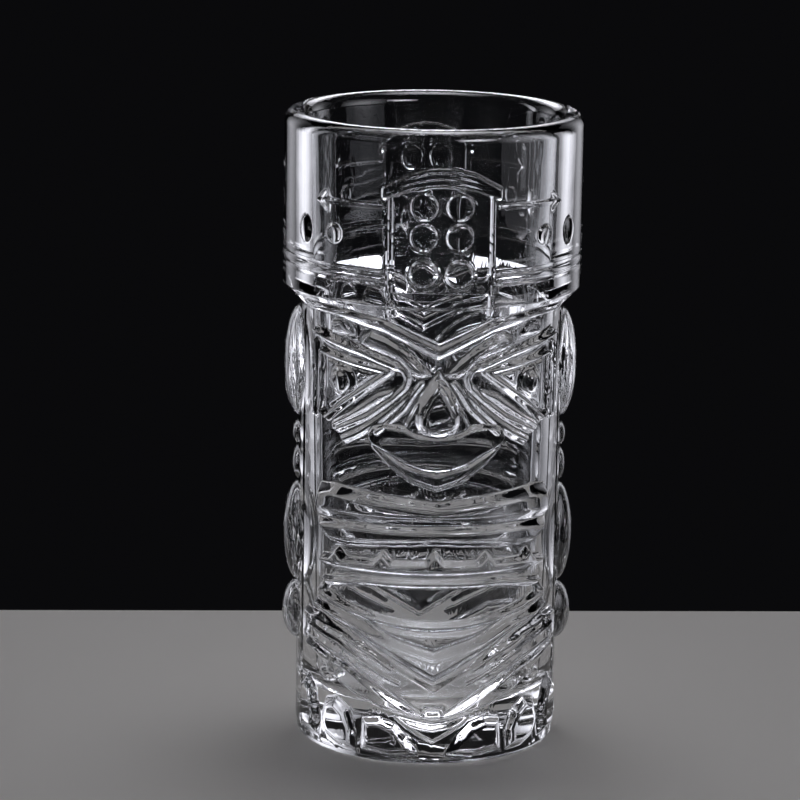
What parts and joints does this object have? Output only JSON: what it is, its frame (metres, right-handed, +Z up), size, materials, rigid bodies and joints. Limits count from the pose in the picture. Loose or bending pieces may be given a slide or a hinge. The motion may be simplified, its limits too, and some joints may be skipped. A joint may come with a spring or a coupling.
{
  "type": "tiki tumbler",
  "caption": "Clear pressed-glass tiki tumbler with a smooth round collar, a stylised face in relief on two sides, lobed ears and a thick solid base.",
  "frame": {"origin": "centre of the flat underside of the foot, on the table", "axes": "+Z up along the axis of the tumbler, -Y out of the front face, +X towards the right-hand side lobes"},
  "size_m": [0.076, 0.0784, 0.163],
  "materials": {
    "clear_glass": "clear, colourless, fire-polished pressed glass"
  },
  "bodies": {
    "root": {"foot": "clear_glass", "heel": "clear_glass", "wall": "clear_glass", "collar": "clear_glass", "lip": "clear_glass", "front_forehead_panel": "clear_glass", "front_forehead_arch": "clear_glass", "front_forehead_beads": "clear_glass", "front_collar_studs": "clear_glass", "front_brow": "clear_glass", "front_eyelids": "clear_glass", "front_eye_frames": "clear_glass", "front_pupils": "clear_glass", "front_cheek_bars": "clear_glass", "front_nose": "clear_glass", "front_moustache": "clear_glass", "front_moustache_hem": "clear_glass", "front_upper_lip": "clear_glass", "front_lower_lip": "clear_glass", "front_teeth": "clear_glass", "front_chin": "clear_glass", "front_beard": "clear_glass", "back_forehead_panel": "clear_glass", "back_forehead_arch": "clear_glass", "back_forehead_beads": "clear_glass", "back_collar_studs": "clear_glass", "back_brow": "clear_glass", "back_eyelids": "clear_glass", "back_eye_frames": "clear_glass", "back_pupils": "clear_glass", "back_cheek_bars": "clear_glass", "back_nose": "clear_glass", "back_moustache": "clear_glass", "back_moustache_hem": "clear_glass", "back_upper_lip": "clear_glass", "back_lower_lip": "clear_glass", "back_teeth": "clear_glass", "back_chin": "clear_glass", "back_beard": "clear_glass", "left_ear": "clear_glass", "left_side_beads": "clear_glass", "left_side_scroll": "clear_glass", "left_side_knob": "clear_glass", "right_ear": "clear_glass", "right_side_beads": "clear_glass", "right_side_scroll": "clear_glass", "right_side_knob": "clear_glass"}
  },
  "joints": []
}
